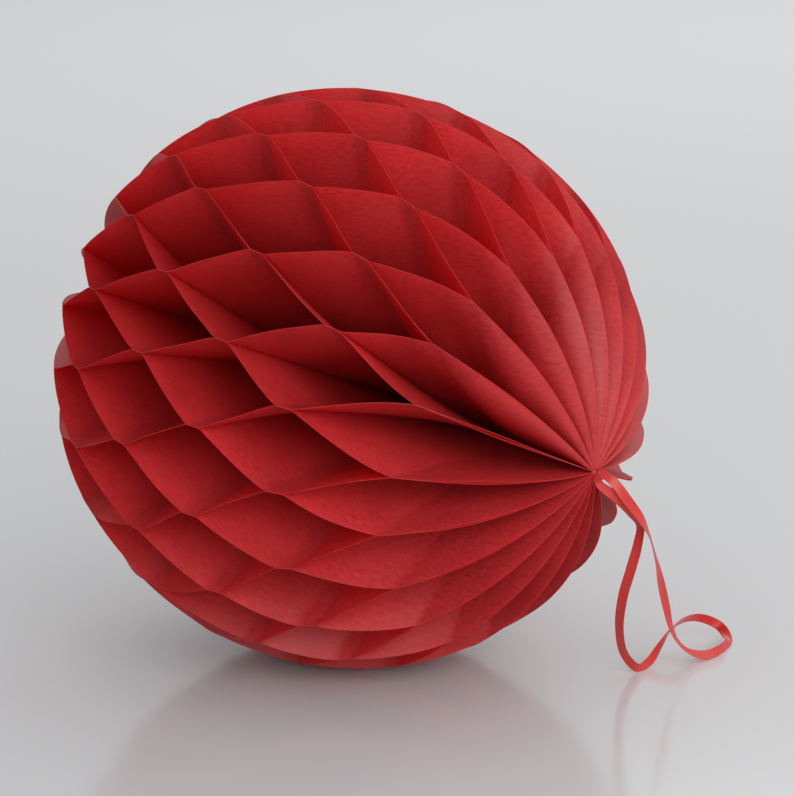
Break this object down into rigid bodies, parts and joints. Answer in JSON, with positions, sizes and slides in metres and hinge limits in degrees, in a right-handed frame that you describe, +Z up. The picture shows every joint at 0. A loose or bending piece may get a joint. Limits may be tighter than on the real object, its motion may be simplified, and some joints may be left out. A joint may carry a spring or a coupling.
{
  "type": "honeycomb paper ball",
  "caption": "Round honeycomb ball of half-disc tissue paper leaves fanned round a spine and glued in staggered rows, with a satin ribbon loop to hang it by.",
  "frame": {"origin": "on the table top under the middle of the ball's box, at the flat spot that the resting ball stands on", "axes": "+Z up, +X along the floor direction of the spine towards the ribbon end, which leans 10 degrees down; the picture looks from the +X -Y side"},
  "size_m": [0.2276, 0.1998, 0.198],
  "materials": {
    "tissue_paper": "matte red honeycomb tissue with fine fibres",
    "satin_ribbon": "satin ribbon, bright red"
  },
  "bodies": {
    "root": {"leaf_01": "tissue_paper", "leaf_02": "tissue_paper", "leaf_03": "tissue_paper", "leaf_04": "tissue_paper", "leaf_05": "tissue_paper", "leaf_06": "tissue_paper", "leaf_07": "tissue_paper", "leaf_08": "tissue_paper", "leaf_09": "tissue_paper", "leaf_10": "tissue_paper", "leaf_11": "tissue_paper", "leaf_12": "tissue_paper", "leaf_13": "tissue_paper", "leaf_14": "tissue_paper", "leaf_15": "tissue_paper", "leaf_16": "tissue_paper", "leaf_17": "tissue_paper", "leaf_18": "tissue_paper", "leaf_19": "tissue_paper", "leaf_20": "tissue_paper", "leaf_21": "tissue_paper", "leaf_22": "tissue_paper", "leaf_23": "tissue_paper", "leaf_24": "tissue_paper", "leaf_25": "tissue_paper", "leaf_26": "tissue_paper", "leaf_27": "tissue_paper", "leaf_28": "tissue_paper", "leaf_29": "tissue_paper", "leaf_30": "tissue_paper", "leaf_31": "tissue_paper", "leaf_32": "tissue_paper", "leaf_33": "tissue_paper", "leaf_34": "tissue_paper", "leaf_35": "tissue_paper", "leaf_36": "tissue_paper", "leaf_37": "tissue_paper", "leaf_38": "tissue_paper", "leaf_39": "tissue_paper", "leaf_40": "tissue_paper", "leaf_41": "tissue_paper", "leaf_42": "tissue_paper", "ribbon_core": "satin_ribbon", "ribbon_knot": "satin_ribbon", "ribbon_loop": "satin_ribbon"}
  },
  "joints": []
}
